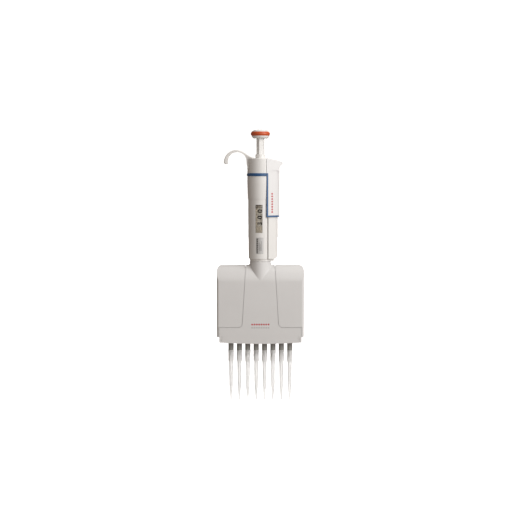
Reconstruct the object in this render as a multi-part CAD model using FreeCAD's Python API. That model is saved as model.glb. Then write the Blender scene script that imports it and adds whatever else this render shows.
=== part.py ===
import FreeCAD, Part
import math
import os

# Eight-channel air-displacement pipette, in millimetres.
# Origin: middle of the row of tip ends. +Z runs up to the button, +X is the ejector side and -Y is the
# display side.

V = FreeCAD.Vector
BIG = 200.0

# Driving dimensions
PITCH = 9.0                 # channel spacing of a microplate
CHANNELS = [(i - 3.5) * PITCH for i in range(8)]
TOTAL_Z = 289.2

# Head housing
HEAD_HALF_X = 46.5
HEAD_FOOT_X = 46.1          # half width at the bottom of the side walls
HEAD_HALF_Y = 11.5
HEAD_TOP_Z = 146.0
SHOULDER_R = 20.5
HEAD_CORNER_R = 6.0
HEAD_BOTTOM_Z = 62.3
HEAD_WALL = 1.8
LIP_WALL = 1.0              # rebate lip of the centre housing behind the wing covers
LIP_REACH = 2.5
LIP_PLAY = 0.05
BAND_HALF_X = 43.9          # half width of the lower band of the centre housing
BAND_TOP_Z = 79.6
STRIP_BOTTOM_Z = 69.4
SEAM = 0.35
SEAM_TOP_X = 15.0
SEAM_LOW_X = 19.0
SEAM_BEND_R = 5.0
NECK_R = 11.3
NECK_FOOT_R = 11.49
NECK_BORE_R = 9.5
NECK_TOP_Z = 147.6
RING_B_TOP_Z = 150.05
COVER_SCREW = (38.5, 70.0)  # X and Z of the rear screws of the centre housing
COVER_SCREW_R = 1.1
WING_SCREW = (21.5, 100.0)
WING_SCREW_R = 0.9

# Chassis inside the head
BASE_Z = (74.0, 80.0)
RETAINER_Z = (100.0, 100.8)
BRIDGE_Z = (124.2, 128.2)
COLUMN_X = 38.5
COLUMN_R = 2.0
SPRING_SPOTS = [(x, y) for x in (-9.0, 9.0) for y in (-6.2, 6.2)]
PILLAR_SPOTS = [(x, y) for x in (-27.0, 27.0) for y in (-6.2, 6.2)]
SHELF_Z = (126.0, 128.0)    # shelves of the housing over the stripper springs
PISTON_R = 2.765
PUSHER_TOP_Z = 165.8
RETURN_SPRING_R = 2.8

# Tip cones and tips
CONE_END_Z = 48.5
TIP_RIM_Z = 54.1
COLLAR_Z = 42.2
CONE_R = 2.85

# Handle
RING_A_Z = (150.15, 152.6)
HANDLE_Z = 152.7
CASING_SPLIT_Z = 216.1
TRIM_Z = (240.3, 243.5)
TRIM_MID_Z = 0.5 * (TRIM_Z[0] + TRIM_Z[1])
CAP_TOP_Z = 259.0
LOWER_R = (12.64, 13.05)    # lower casing at its foot and at the split
UPPER_R = (13.36, 13.9)
CASING_BORE_R = 10.6
TRACK_X = 6.3               # the casings step in beyond this X to make room for the ejector
TRACK_R = 11.6
BUSH_R = 5.2
CASING_SCREW_Z = (211.6, 218.6)
HOOK_CENTRE = (-24.6, 255.9)
HOOK_R = 9.9                # round underside of the finger hook

# Volume counter, with areas as X from, X to, Z from, Z to
WINDOW = (-5.1, 2.2, 180.6, 210.2)
LABEL = (-4.5, 3.2, 158.2, 175.6)
WHEEL_Z = {"hundreds_wheel": 187.0, "tens_wheel": 193.6, "units_wheel": 200.2}
WHEEL_H = 6.4
FRAME_Z = (178.0, 221.0)
SEAT_Z = (166.5, 168.0)
NUT_Z = (226.0, 231.0)

# Ejector
KEY_X = 6.6
KEY_Z = (197.2, 259.1)
KEY_R = 14.3
KEY_LOBE = (11.6, 8.5)      # centre X and radius of the key's outer lobe
KEY_LIP_X = 23.75           # reach of the thumb lip
KEY_LIP_R = 6.25            # its end radius, seen from above
KEY_WALL = 1.0
BAR_X = 8.5
BAR_Z = (152.6, 205.0)
BAR_R = 13.0
BAR_LOBE = (11.0, 7.3)
MODULE = 0.4
ADDENDUM = 0.3
KEY_TEETH = 20
BAR_TEETH = 12
PINION_X = 12.0
PINION_Z = 226.0

# Plunger
BUTTON_Z = 280.1
BUTTON_R = 10.2
BUTTON_EDGE_R = 9.2         # at the colour ring's upper and lower edges
BUTTON_BOSS_R = 8.0
BUTTON_BAND_Z = (282.9, 287.3)
ROD_CORNER_R = 4.3
ROD_TURN = 13.0             # the hexagon's turn about the handle's axis, in degrees
ROD_FOOT_Z = 236.0
THRUST_Z = (165.9, 236.0)
COLLAR_RANGE = (205.0, 207.0)


def cyl(r, z0, z1, x=0.0, y=0.0):
    return Part.makeCylinder(r, z1 - z0, V(x, y, z0))


def tube(ro, ri, z0, z1, x=0.0, y=0.0):
    return cyl(ro, z0, z1, x, y).cut(cyl(ri, z0 - 1, z1 + 1, x, y))


def cone(r0, r1, z0, z1, x=0.0, y=0.0):
    return Part.makeCone(r0, r1, z1 - z0, V(x, y, z0))


def box(x0, x1, y0, y1, z0, z1):
    return Part.makeBox(x1 - x0, y1 - y0, z1 - z0, V(x0, y0, z0))


def rod_y(r, y0, y1, x, z):
    return Part.makeCylinder(r, y1 - y0, V(x, y0, z), V(0, 1, 0))


def fuse(shapes):
    shapes = list(shapes)
    return shapes[0].multiFuse(shapes[1:]).removeSplitter() if len(shapes) > 1 else shapes[0]


def group(shapes):
    return Part.makeCompound([s for shape in shapes for s in shape.Solids])


def face_of(points):
    return Part.Face(Part.makePolygon(points + [points[0]]))


def prism_xz(points, y0, y1):
    face = face_of([V(x, y0, z) for x, z in points])
    return face.extrude(V(0, y1 - y0, 0))


def revolve(points, x=0.0, y=0.0):
    face = face_of([V(r, 0, z) for r, z in points])
    solid = face.revolve(V(0, 0, 0), V(0, 0, 1), 360)
    solid.translate(V(x, y, 0))
    return solid


def wire_face(edges):
    return Part.Face(Part.Wire(edges))


def ordered_box(x, y, z):
    # Box from three pairs of limits given in either order.
    (x0, x1), (y0, y1), (z0, z1) = sorted(x), sorted(y), sorted(z)
    return box(x0, x1, y0, y1, z0, z1)


def line(a, b):
    return Part.LineSegment(a, b).toShape()


def arc(a, mid, b):
    return Part.Arc(a, mid, b).toShape()


def spring(mean_r, wire_r, z0, z1, turns, x=0.0, y=0.0):
    # A coil that lies between two planes, with its wire's outside on both.
    height = z1 - z0 - 2 * wire_r
    helix = Part.makeHelix(height / turns, height, mean_r)
    profile = Part.Wire(Part.makeCircle(wire_r, V(mean_r, 0, 0), V(0, 1, 0)))
    coil = Part.Wire(helix.Edges).makePipeShell([profile], True, True)
    coil.translate(V(x, y, z0 + wire_r))
    return coil


def screw(r, head_r, head_h, length):
    # Pan head on the origin's plane with its shank running down, and a slot across the head.
    body = fuse([cyl(head_r, 0, head_h), cyl(r, -length, 0.01)])
    slot = box(-head_r, head_r, -0.25, 0.25, head_h * 0.5, head_h + 1)
    return body.cut(slot)


def placed(shape, x, y, z, axis=(0, 0, 1)):
    moved = shape.copy()
    turn = FreeCAD.Rotation(V(0, 0, 1), V(*axis))
    moved.Placement = FreeCAD.Placement(V(x, y, z), turn)
    return moved


# ---------------------------------------------------------------- head housing

def shoulder_profile(inset):
    # Cross-section of the head: straight faces, big shoulder arcs and a soft ridge, seen along X.
    half = HEAD_HALF_Y - inset
    big_r = SHOULDER_R - inset
    centre_y = HEAD_HALF_Y - SHOULDER_R
    ridge_y = 3.0
    rise = math.sqrt(SHOULDER_R ** 2 - (ridge_y - centre_y) ** 2)
    drop = ridge_y * rise / (ridge_y - centre_y)
    ridge_r = math.hypot(ridge_y, drop)
    spring_z = HEAD_TOP_Z - rise + drop - ridge_r
    ridge_centre = spring_z + rise - drop
    ratio = (ridge_r - inset) / ridge_r
    end_y = ridge_y * ratio
    end_z = ridge_centre + drop * ratio
    mid_angle = 0.5 * math.atan2(rise, ridge_y - centre_y)
    mid_y = centre_y + big_r * math.cos(mid_angle)
    mid_z = spring_z + big_r * math.sin(mid_angle)
    low = 40.0
    right = [V(0, half, low), V(0, half, spring_z), V(0, mid_y, mid_z), V(0, end_y, end_z)]
    left = [V(0, -p.y, p.z) for p in right]
    top = V(0, 0, ridge_centre + ridge_r - inset)
    return wire_face([
        line(right[0], right[1]), arc(right[1], right[2], right[3]), arc(right[3], top, left[3]),
        arc(left[3], left[2], left[1]), line(left[1], left[0]), line(left[0], right[0])])


def front_outline(inset, bottom):
    # Outline of the head seen from the front, with rounded top corners.
    foot = HEAD_FOOT_X - inset
    side = HEAD_HALF_X - inset
    top = HEAD_TOP_Z - inset
    r = HEAD_CORNER_R - inset
    cut = r * (1 - math.sqrt(0.5))
    side_z = 100.0
    a, b = V(foot, -20, bottom), V(side, -20, side_z)
    c, d = V(side, -20, top - r), V(side - r, -20, top)
    mid = V(side - cut, -20, top - cut)
    left = [V(-p.x, p.y, p.z) for p in (a, b, c, mid, d)]
    return wire_face([
        line(a, b), line(b, c), arc(c, mid, d), line(d, left[4]), arc(left[4], left[3], left[2]),
        line(left[2], left[1]), line(left[1], left[0]), line(left[0], a)])


def pillow(inset, bottom, edge_r):
    across = shoulder_profile(inset).extrude(V(2 * BIG, 0, 0))
    across.translate(V(-BIG, 0, 0))
    block = box(inset - HEAD_HALF_X, HEAD_HALF_X - inset, inset - HEAD_HALF_Y, HEAD_HALF_Y - inset, 40, 150)
    rounded = block.makeFillet(edge_r, [e for e in block.Edges if e.BoundBox.ZLength > 100])
    return across.common(front_outline(inset, bottom).extrude(V(0, 40, 0))).common(rounded)


def centre_prism(grow):
    # Inverted T of the centre housing, seen from the front. It widens downwards all the way.
    top, low = SEAM_TOP_X + grow, SEAM_LOW_X + grow
    bend = SEAM_BEND_R - grow
    band, band_z = BAND_HALF_X + grow, BAND_TOP_Z + grow
    cut = bend * (1 - math.sqrt(0.5))
    pts = [V(top, -20, 152), V(low, -20, band_z + bend), V(low + cut, -20, band_z + cut),
           V(low + bend, -20, band_z), V(band, -20, band_z), V(band, -20, 50)]
    left = [V(-p.x, p.y, p.z) for p in pts]
    face = wire_face([
        line(pts[0], pts[1]), arc(pts[1], pts[2], pts[3]), line(pts[3], pts[4]), line(pts[4], pts[5]),
        line(pts[5], left[5]), line(left[5], left[4]), line(left[4], left[3]),
        arc(left[3], left[2], left[1]), line(left[1], left[0]), line(left[0], pts[0])])
    return face.extrude(V(0, 40, 0))


def bottom_bow(z_mid, rise, half):
    # Everything under a shallow arc that bows down in the middle.
    a, b = V(-half, -20, z_mid + rise), V(half, -20, z_mid + rise)
    face = wire_face([
        arc(a, V(0, -20, z_mid), b), line(b, V(half, -20, 30)), line(V(half, -20, 30), V(-half, -20, 30)),
        line(V(-half, -20, 30), a)])
    return face.extrude(V(0, 40, 0))


def housing_solids():
    outer = pillow(0.0, 50.0, 2.5)
    inner = pillow(HEAD_WALL, 45.0, 1.0)
    neck = cone(NECK_FOOT_R, NECK_R, 126.0, NECK_TOP_Z)
    bore = cyl(NECK_BORE_R, 100.0, NECK_TOP_Z + 1)
    centre = outer.common(centre_prism(0.0)).fuse(neck).cut(inner).cut(bore)
    walls = [outer.common(box(x, x + HEAD_WALL, -12, 12, 50, BAND_TOP_Z))
             for x in (-BAND_HALF_X, BAND_HALF_X - HEAD_WALL)]
    below = box(-60, 60, -20, 20, 0, STRIP_BOTTOM_Z)
    behind = centre_prism(LIP_REACH).cut(centre_prism(-1.0)).cut(below)
    lips = inner.cut(pillow(HEAD_WALL + LIP_WALL, 45.0, 0.6)).common(behind)
    centre = fuse([centre] + walls + lips.Solids).cut(bore)
    centre = centre.cut(bottom_bow(HEAD_BOTTOM_Z, 1.4, BAND_HALF_X + 0.1))
    wings = outer.cut(pillow(HEAD_WALL - LIP_PLAY, 45.0, 1.0)).cut(centre_prism(SEAM)).cut(below)
    return centre, wings


def cover_half(centre, side):
    # One half of the centre housing: the shell, tabs behind the wing covers, spring shelves and bosses.
    half = centre.common(ordered_box((-60, 60), (0, side * 20), (0, 200)))
    inner_y = HEAD_HALF_Y - HEAD_WALL
    screw_x, screw_z = COVER_SCREW
    wing_x, wing_z = WING_SCREW
    adds = []
    for s in (-1, 1):
        tab_y = (side * (inner_y - 1.1), side * inner_y)
        adds.append(ordered_box((s * 14.0, s * 24.0), tab_y, (84.0, 126.0)))
        adds.append(ordered_box((s * 6.5, s * 11.5), (side * 4.6, side * (inner_y + 0.1)), SHELF_Z))
        boss_y = sorted((0.0, side * (inner_y + 0.1)))
        adds.append(rod_y(2.3, boss_y[0], boss_y[1], s * screw_x, screw_z))
    half = fuse([half] + adds)
    for s in (-1, 1):
        half = half.cut(rod_y(COVER_SCREW_R, -9.0, 20.0, s * screw_x, screw_z))
        half = half.cut(rod_y(2.1, HEAD_HALF_Y - 2.0, 20.0, s * screw_x, screw_z))
        half = half.cut(rod_y(WING_SCREW_R, 5.0, 20.0, s * wing_x, wing_z))
        half = half.cut(catch_notch(s, side))
    return half


def catch_notch(s, side):
    # Small stepped groove at the lower corner, where a tool opens the catch between the covers.
    steps = [(40.3, 70.6), (41.0, 70.6), (41.0, 68.3), (42.1, 67.2), (42.1, 65.0), (41.4, 65.0), (41.4, 66.9),
             (40.3, 68.0)]
    y = sorted((side * (HEAD_HALF_Y - 0.5), side * 14.0))
    return prism_xz([(s * x, z) for x, z in steps], y[0], y[1])


def wing_cover(wings, s):
    x, z = s * WING_SCREW[0], WING_SCREW[1]
    part = wings.common(ordered_box((0, s * 60), (-20, 20), (0, 200)))
    part = part.cut(rod_y(WING_SCREW_R, 5.0, 20.0, x, z))
    return part.cut(rod_y(1.9, HEAD_HALF_Y - 0.9, 20.0, x, z))


def rear_screws(places, r, head_r, head_h, floor_y, length):
    return group([placed(screw(r, head_r, head_h, length), x, floor_y, z, (0, 1, 0)) for x, z in places])


def stripper_plate():
    half_y = HEAD_HALF_Y - HEAD_WALL
    half_x = BAND_HALF_X - HEAD_WALL
    plate = box(-half_x, half_x, -half_y, half_y, HEAD_BOTTOM_Z - 0.8, HEAD_BOTTOM_Z + 3.2)
    plate = plate.cut(bottom_bow(HEAD_BOTTOM_Z + 0.5, 1.3, half_x + 0.1))
    return plate.cut(fuse([cyl(CONE_R + 0.1, 55, 70, x) for x in CHANNELS]))


def neck_ring():
    lip = tube(NECK_BORE_R, 8.3, 146.0, NECK_TOP_Z + 0.01)
    band = revolve([(8.3, NECK_TOP_Z), (NECK_R, NECK_TOP_Z), (NECK_R, RING_B_TOP_Z - 0.5),
                    (NECK_R - 0.5, RING_B_TOP_Z), (8.3, RING_B_TOP_Z)])
    return fuse([lip, band])


def stripper_springs():
    return group([spring(1.2, 0.3, RETAINER_Z[1], SHELF_Z[0], 14, x, y) for x, y in SPRING_SPOTS])


def chassis():
    base = box(-41.5, 41.5, -8.2, 8.2, BASE_Z[0], BASE_Z[1])
    pillars = [cyl(2.0, BASE_Z[1] - 0.1, RETAINER_Z[0], x, y) for x, y in PILLAR_SPOTS]
    body = fuse([base] + pillars)
    holes = [cyl(2.6, 70, 79, x) for x in CHANNELS] + [cyl(3.8, 78, 81, x) for x in CHANNELS]
    holes += [cyl(0.8, 92, RETAINER_Z[0] + 1, x, y) for x, y in PILLAR_SPOTS]
    holes += [cyl(COLUMN_R, 76, 81, x) for x in (-COLUMN_X, COLUMN_X)]
    for hole in holes:
        body = body.cut(hole)
    return body


def bridge():
    body = box(-41.0, 41.0, -4.0, 4.0, BRIDGE_Z[0], BRIDGE_Z[1])
    tall = [e for e in body.Edges if e.BoundBox.ZLength > 1]
    body = body.makeFillet(1.5, tall)
    holes = [cyl(COLUMN_R, 120, 140, x) for x in (-COLUMN_X, COLUMN_X)]
    holes += [cyl(3.3, 120, 140)] + [cyl(0.9, 120, 140, x) for x in (-6.2, 6.2)]
    return body.cut(fuse(holes))


def guide_columns():
    return group([cyl(COLUMN_R, 76.0, BRIDGE_Z[1], x) for x in (-COLUMN_X, COLUMN_X)])


def cylinders():
    parts = []
    for x in CHANNELS:
        body = cyl(3.8, 78.0, RETAINER_Z[0], x)
        body = body.cut(cyl(2.9, 79.5, 102, x))
        body = body.cut(cyl(3.4, 97.4, 102, x))
        parts.append(body.cut(cyl(1.2, 70, 82, x)))
    return group(parts)


def piston_seals():
    ring = revolve([(2.8, 97.4), (3.4, 97.4), (3.4, RETAINER_Z[0]), (3.05, RETAINER_Z[0]), (2.8, 99.4)])
    return group([ring.translated(V(x, 0, 0)) for x in CHANNELS])


def retainer_plate():
    body = box(-34.9, 34.9, -8.2, 8.2, RETAINER_Z[0], RETAINER_Z[1])
    body = body.cut(fuse([cyl(2.9, 95, 105, x) for x in CHANNELS]))
    return body.cut(fuse([cyl(0.95, 95, 105, x, y) for x, y in PILLAR_SPOTS]))


def chassis_screws():
    top = [placed(screw(0.8, 1.7, 1.0, 6.0), x, y, RETAINER_Z[1]) for x, y in PILLAR_SPOTS]
    low = [placed(screw(0.9, 1.6, 1.0, 9.0), x, 0, BRIDGE_Z[0], (0, 0, -1)) for x in (-6.2, 6.2)]
    return group(top + low)


def swivel_spigot():
    body = fuse([cyl(8.0, BRIDGE_Z[1], 165.0), cyl(10.2, 152.85, 153.9)])
    body = body.cut(cyl(4.5, 120, 170))
    body = body.cut(tube(9.0, 7.3, 163.05, 164.15))
    return body.cut(fuse([cyl(0.9, 120, BRIDGE_Z[0] + 9.1, x) for x in (-6.2, 6.2)]))


def retaining_clip():
    ring = tube(9.7, 7.35, 163.1, 164.1)
    return ring.cut(box(0, 12, -3.2, 3.2, 160, 170))


def tip_cones():
    # Nozzles with a groove for the sealing ring and a shank that goes up into the chassis.
    profile = [(1.2, CONE_END_Z), (2.2, CONE_END_Z), (2.4, CONE_END_Z + 0.5), (2.45, 50.67), (1.82, 50.67),
               (1.82, 51.33), (2.46, 51.33), (2.52, TIP_RIM_Z + 0.2), (CONE_R, TIP_RIM_Z + 0.4),
               (CONE_R, BASE_Z[0]), (2.6, BASE_Z[0]), (2.6, 78.0), (1.2, 78.0)]
    return group([revolve(profile, x) for x in CHANNELS])


def cone_rings():
    return group([Part.makeTorus(2.15, 0.33, V(x, 0, 51.0)) for x in CHANNELS])


def piston_carrier():
    body = box(-41.0, 41.0, -3.4, 3.4, 116.0, 121.0)
    tall = [e for e in body.Edges if e.BoundBox.ZLength > 1]
    body = body.makeFillet(1.5, tall)
    holes = [cyl(PISTON_R, 110, 118, x) for x in CHANNELS]
    holes += [cyl(COLUMN_R + 0.05, 110, 125, x) for x in (-COLUMN_X, COLUMN_X)]
    return body.cut(fuse(holes))


def pistons():
    stem = [(0, 96.0), (PISTON_R - 0.3, 96.0), (PISTON_R, 96.3), (PISTON_R, 118.0), (0, 118.0)]
    return group([revolve(stem, x) for x in CHANNELS])


def piston_clip_bar():
    return box(-35.0, 35.0, -3.2, 3.2, 121.0, 122.6).cut(cyl(3.0, 110, 130))


def pusher_rod():
    top = PUSHER_TOP_Z
    return revolve([(0, 121.0), (3.0, 121.0), (3.0, top - 0.4), (2.6, top), (0, top)])


def return_springs():
    return group([spring(RETURN_SPRING_R, 0.35, BASE_Z[1], 116.0, 16, x) for x in (-COLUMN_X, COLUMN_X)])


def tip():
    # Disposable tip: a long taper, a ribbed collar and a narrow rim.
    outer = [(0.5, 0.0), (1.7, 14.5), (2.25, COLLAR_Z), (2.72, COLLAR_Z), (2.85, TIP_RIM_Z - 1.1),
             (3.1, TIP_RIM_Z - 0.9), (3.1, TIP_RIM_Z - 0.15), (2.98, TIP_RIM_Z)]
    inner = [(2.60, TIP_RIM_Z), (2.46, CONE_END_Z), (2.35, 44.0), (1.8, 41.0), (1.25, 14.5), (0.22, 0.0)]
    body = revolve(outer + inner)
    rib = box(2.6, 3.0, -0.2, 0.2, COLLAR_Z, TIP_RIM_Z - 1.0)
    ribs = []
    for i in range(8):
        turned = rib.copy()
        turned.rotate(V(0, 0, 0), V(0, 0, 1), 22.5 + 45 * i)
        ribs.append(turned)
    return fuse([body] + ribs)


def tips():
    one = tip()
    return group([one.translated(V(x, 0, 0)) for x in CHANNELS])


# ---------------------------------------------------------------- handle

def stepped_body(solid, z0, z1):
    # Casing outline: full radius on the hand side, stepped in to the track radius on the ejector side.
    hand = solid.common(box(-30, TRACK_X, -30, 30, z0, z1))
    return fuse([hand, cyl(TRACK_R, z0, z1)])


def lower_cone(shrink=0.0):
    return cone(LOWER_R[0] - shrink, LOWER_R[1] - shrink, HANDLE_Z, CASING_SPLIT_Z)


def front_patch(area, play, shrink, back_r):
    # Curved plate that follows the lower casing's surface on the display side.
    x0, x1, z0, z1 = area
    block = box(x0 + play, x1 - play, -20, 0, z0 + play, z1 - play)
    return lower_cone(shrink).common(block).cut(cyl(back_r, 150, 220))


def casing_screw_holes():
    holes = []
    for z in CASING_SCREW_Z:
        holes.append(rod_y(0.9, 8.0, 16.0, 0, z))
        holes.append(rod_y(1.8, 11.9, 16.0, 0, z))
    return fuse(holes)


def lower_casing():
    body = stepped_body(lower_cone(), HANDLE_Z, CASING_SPLIT_Z)
    body = body.cut(cyl(CASING_BORE_R, 140, 230))
    ledge = tube(CASING_BORE_R + 0.2, 7.6, SEAT_Z[0] - 1.5, SEAT_Z[0])
    body = fuse([body, ledge])
    body = body.cut(front_patch(WINDOW, 0.0, 0.0, CASING_BORE_R - 1))
    body = body.cut(front_patch(LABEL, 0.0, -1.0, LOWER_R[0] - 0.28))
    return body.cut(casing_screw_holes())


def display_window():
    return front_patch(WINDOW, 0.04, 0.0, 11.3)


def rating_label():
    return front_patch(LABEL, 0.04, 0.0, LOWER_R[0] - 0.28)


def upper_casing():
    skin = fuse([cone(UPPER_R[0], UPPER_R[1], CASING_SPLIT_Z, 233.0), cyl(UPPER_R[1], 233.0, TRIM_Z[0]),
                 cyl(12.4, TRIM_Z[0], TRIM_MID_Z)])
    body = stepped_body(skin, CASING_SPLIT_Z, TRIM_MID_Z)
    cheeks = []
    for s in (-1, 1):
        y = sorted((s * 5.1, s * 6.6))
        cheeks.append(box(8.5, PINION_X, y[0], y[1], PINION_Z - 2.2, PINION_Z + 2.2))
        cheeks.append(rod_y(2.2, y[0], y[1], PINION_X, PINION_Z))
    body = fuse([body] + cheeks)
    body = body.cut(cyl(CASING_BORE_R, 200, 250))
    body = body.cut(box(5, 12.6, -5.1, 5.1, PINION_Z - 4.8, PINION_Z + 4.8))
    body = body.cut(rod_y(1.0, -10, 10, PINION_X, PINION_Z))
    return body.cut(casing_screw_holes())


def trim_ring():
    ring = revolve([(12.4, TRIM_Z[0]), (14.1, TRIM_Z[0]), (14.5, TRIM_Z[0] + 0.5), (14.5, TRIM_Z[1] - 0.5),
                    (14.1, TRIM_Z[1]), (12.4, TRIM_Z[1])])
    return ring.common(box(-30, TRACK_X, -30, 30, 230, 250))


def hook():
    # Finger hook: a round underside that runs down into the cap, under a line that sweeps to the free end.
    cx, cz, r = HOOK_CENTRE[0], HOOK_CENTRE[1], HOOK_R
    y = -15.0
    start, end = V(cx + r, y, cz), math.radians(190)
    free = V(cx + r * math.cos(end), y, cz + r * math.sin(end))
    under = arc(start, V(cx, y, cz + r), free)
    foot, inside = V(-12.8, y, 247.8), V(-1.0, y, 247.8)
    root = arc(foot, V(-14.22, y, 251.74), start)
    outline = [(-38.5, 256.2), (-37.2, 260.8), (-32.5, 265.9), (-25.0, 268.1), (-18.5, 266.1), (-11.5, 261.7),
               (-5.5, 259.3), (-1.0, CAP_TOP_Z)]
    curve = Part.BSplineCurve()
    curve.interpolate([V(px, y, pz) for px, pz in outline])
    last = V(outline[-1][0], y, outline[-1][1])
    nose = arc(free, V(-36.9, y, 253.1), V(outline[0][0], y, outline[0][1]))
    face = wire_face([root, under, nose, curve.toShape(), line(last, inside), line(inside, foot)])
    blade = face.extrude(V(0, 30, 0))
    plan = Part.BSplineCurve()
    points = [(-1.0, 12.5), (-7.0, 9.2), (-12.0, 6.0), (-16.0, 4.9), (-20.0, 4.6), (-27.0, 4.5), (-34.0, 4.5),
              (-40.0, 4.5)]
    plan.interpolate([V(px, py, 240) for px, py in points])
    upper = plan.toShape()
    lower = upper.mirror(V(0, 0, 0), V(0, 1, 0))
    sides = wire_face([upper, line(V(-40, 4.5, 240), V(-40, -4.5, 240)), lower,
                       line(V(-1, -12.5, 240), V(-1, 12.5, 240))])
    body = blade.common(sides.extrude(V(0, 0, 40)))
    outer_edges = [e for e in body.Edges if e.BoundBox.XMin < -38.0 and e.BoundBox.XLength > 3]
    return body.makeFillet(1.2, outer_edges)


def hook_cap():
    skin = fuse([cyl(12.4, TRIM_MID_Z, TRIM_Z[1]), cyl(UPPER_R[1], TRIM_Z[1], CAP_TOP_Z)])
    body = stepped_body(skin, TRIM_MID_Z, CAP_TOP_Z)
    rim = [e for e in body.Edges if e.BoundBox.ZMin > CAP_TOP_Z - 0.1 and e.BoundBox.YLength > 15]
    body = body.makeFillet(0.8, rim)
    body = fuse([body, hook()])
    body = body.cut(cyl(CASING_BORE_R, 230, CAP_TOP_Z - 2.6))
    return body.cut(cyl(BUSH_R, 230, 280))


def guide_bush():
    flange_z = CAP_TOP_Z - 2.6
    body = fuse([cyl(BUSH_R, flange_z - 0.1, 263.5), cyl(8.0, flange_z - 1.6, flange_z)])
    top = [e for e in body.Edges if e.BoundBox.ZMin > 263.4]
    body = body.makeFillet(0.5, top)
    return body.cut(cyl(ROD_CORNER_R + 0.1, 240, 270))


def counter_frame():
    # Sleeve that carries the three wheels, with a broad seat below them and another above.
    wheels_z = (WHEEL_Z["hundreds_wheel"] - 0.2, WHEEL_Z["units_wheel"] + WHEEL_H + 0.2)
    body = fuse([tube(8.4, 7.6, FRAME_Z[0], FRAME_Z[1]), tube(10.55, 8.0, FRAME_Z[0], wheels_z[0]),
                 tube(10.55, 8.0, wheels_z[1], FRAME_Z[1]), tube(8.0, 6.3, 207.6, 208.9)])
    keyways = box(-1.7, 1.7, -8.5, 8.5, 209.5, FRAME_Z[1] + 1).cut(cyl(6.0, 200, 230))
    return body.cut(keyways).cut(fuse([rod_y(0.9, 8.7, 16.0, 0, z) for z in CASING_SCREW_Z]))


def number_wheel(z):
    # Hollow wheel with detent notches in its upper rim.
    body = tube(9.75, 8.45, z, z + WHEEL_H)
    rim = [e for e in body.Edges if abs(e.BoundBox.XLength - 19.5) < 0.1]
    body = body.makeFillet(0.25, rim)
    notch = box(8.3, 9.3, -0.35, 0.35, z + WHEEL_H - 0.5, z + WHEEL_H + 1)
    cuts = []
    for i in range(10):
        turned = notch.copy()
        turned.rotate(V(0, 0, 0), V(0, 0, 1), 36 * i)
        cuts.append(turned)
    return body.cut(fuse(cuts))


def volume_screw():
    z0, z1, pitch, crest, root = 210.5, 238.0, 1.25, 5.55, 5.2
    outline = [(4.7, 209.1), (7.45, 209.1), (7.45, z0), (root, z0)]
    for i in range(int((z1 - z0) / pitch)):
        z = z0 + i * pitch
        outline += [(root, z + 0.3 * pitch), (crest, z + 0.5 * pitch), (crest, z + 0.6 * pitch),
                    (root, z + 0.8 * pitch)]
    return revolve(outline + [(root, z1), (4.7, z1)])


def stop_nut():
    ear = box(-1.4, 1.4, -8.2, 8.2, NUT_Z[0], NUT_Z[1])
    return fuse([cyl(7.0, NUT_Z[0], NUT_Z[1]), ear]).cut(cyl(5.65, 220, 240))


def swivel_bush():
    return tube(CASING_BORE_R, 8.05, 154.0, 163.0)


def spring_seat():
    return tube(10.2, 3.4, SEAT_Z[0], SEAT_Z[1])


def blowout_washer():
    return tube(7.4, 5.6, 188.4, 189.9)


def casing_screws():
    return group([placed(screw(0.9, 1.7, 0.9, 3.1), 0, 11.9, z, (0, 1, 0)) for z in CASING_SCREW_Z])


def pinion_axle():
    return rod_y(1.0, -6.6, 6.6, PINION_X, PINION_Z)


# ---------------------------------------------------------------- ejector

def lobe_body(r, lobe, z0, z1):
    # Egg-shaped section: a circle round the handle's axis joined by tangents to a smaller one beside it.
    x, small = lobe
    a = math.acos((r - small) / x)
    p, q = V(x + small * math.cos(a), small * math.sin(a), z0), V(r * math.cos(a), r * math.sin(a), z0)
    p2, q2 = V(p.x, -p.y, z0), V(q.x, -q.y, z0)
    face = wire_face([arc(p2, V(x + small, 0, z0), p), line(p, q), arc(q, V(-r, 0, z0), q2), line(q2, p2)])
    return face.extrude(V(0, 0, z1 - z0))


def key_roof(drop):
    # Everything under the gently crowned thumb surface.
    low, y = 150.0, -20.0
    a, mid, b = V(KEY_X, y, KEY_Z[1] - drop), V(15.2, y, 257.7 - drop), V(26.0, y, 253.85 - drop)
    face = wire_face([line(V(0, y, low), V(0, y, a.z)), line(V(0, y, a.z), a), arc(a, mid, b),
                      line(b, V(b.x, y, low)), line(V(b.x, y, low), V(0, y, low))])
    return face.extrude(V(0, 40, 0))


def above_lip_curve():
    # Everything over the curve that flares out from the key's back to the thumb lip.
    y, top = -20.0, 262.0
    a, b = V(20.1, y, 246.0), V(24.0, y, 253.6)
    face = wire_face([line(V(0, y, a.z), a), arc(a, V(21.2, y, 250.6), b), line(b, V(30, y, 254.4)),
                      line(V(30, y, 254.4), V(30, y, top)), line(V(30, y, top), V(0, y, top)),
                      line(V(0, y, top), V(0, y, a.z))])
    return face.extrude(V(0, 40, 0))


def key_shell():
    # Thin-walled column with a thumb lip that flares out at the top.
    column = lobe_body(KEY_R, KEY_LOBE, KEY_Z[0], 262.0)
    lip = lobe_body(KEY_R, (KEY_LIP_X - KEY_LIP_R, KEY_LIP_R), 246.0, 262.0)
    body = fuse([column, lip.common(above_lip_curve())]).common(key_roof(0.0))
    body = body.common(box(KEY_X, 40, -20, 20, KEY_Z[0], 262))
    rim = [e for e in body.Edges if e.BoundBox.ZMin > 253.9 and e.BoundBox.XLength > 0.5]
    body = body.makeFillet(1.2, rim)
    hollow = lobe_body(KEY_R - KEY_WALL, (KEY_LOBE[0], KEY_LOBE[1] - KEY_WALL), 190.0, 262.0)
    body = body.cut(hollow.common(key_roof(1.7)))
    return body.cut(cyl(TRACK_R + 0.35, 190, 270))


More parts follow.
